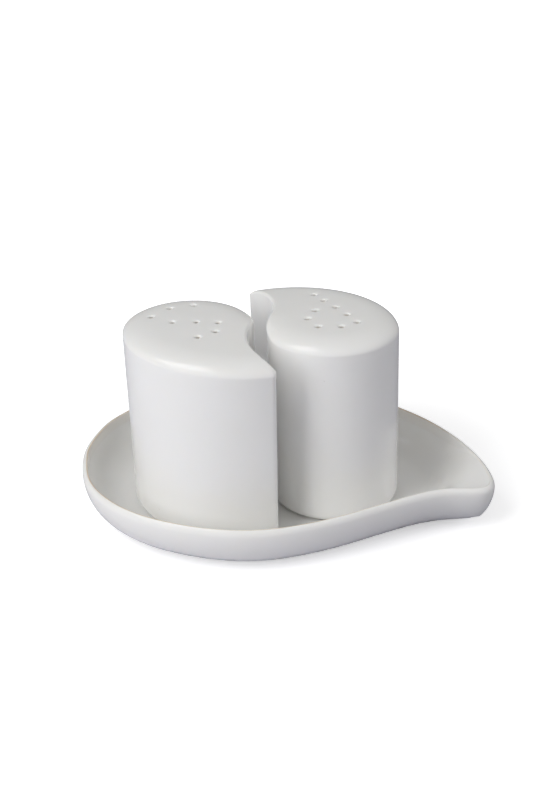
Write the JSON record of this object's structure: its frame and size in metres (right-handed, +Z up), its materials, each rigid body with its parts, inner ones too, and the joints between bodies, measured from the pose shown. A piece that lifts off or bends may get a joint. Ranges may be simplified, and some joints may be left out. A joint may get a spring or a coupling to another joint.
{
  "type": "salt and pepper shaker set",
  "caption": "White porcelain salt and pepper shakers, comma-shaped and nested head to tail on a leaf-shaped tray, each filled through a soft stopper in its base.",
  "frame": {"origin": "centre of the set's footprint, on the table under the tray's foot ring", "axes": "+Z up; +X along the tray towards its tip; +Y to the back, away from the side the shakers' holes are read from"},
  "size_m": [0.1641, 0.1307, 0.0815],
  "materials": {
    "tray_porcelain": "clear gloss glaze over white porcelain, thin and faintly amber along the rim, bare foot ring",
    "shaker_porcelain": "clear gloss glaze over white porcelain, bare foot",
    "stopper_silicone": "matte milky silicone"
  },
  "bodies": {
    "tray": {"tray": "tray_porcelain"},
    "salt_stopper": {"salt_stopper": "stopper_silicone"},
    "salt_shaker": {"salt_shaker": "shaker_porcelain"},
    "pepper_stopper": {"pepper_stopper": "stopper_silicone"},
    "pepper_shaker": {"pepper_shaker": "shaker_porcelain"}
  },
  "joints": [
    {"name": "salt_lift", "type": "slide", "parent": "tray", "child": "salt_stopper", "axis": [0, 0, 1], "range_m": [0, 0.09]},
    {"name": "salt_unplug", "type": "slide", "parent": "salt_stopper", "child": "salt_shaker", "axis": [0, 0, 1], "range_m": [0, 0.022]},
    {"name": "pepper_lift", "type": "slide", "parent": "tray", "child": "pepper_stopper", "axis": [0, 0, 1], "range_m": [0, 0.09]},
    {"name": "pepper_unplug", "type": "slide", "parent": "pepper_stopper", "child": "pepper_shaker", "axis": [0, 0, 1], "range_m": [0, 0.022]}
  ]
}
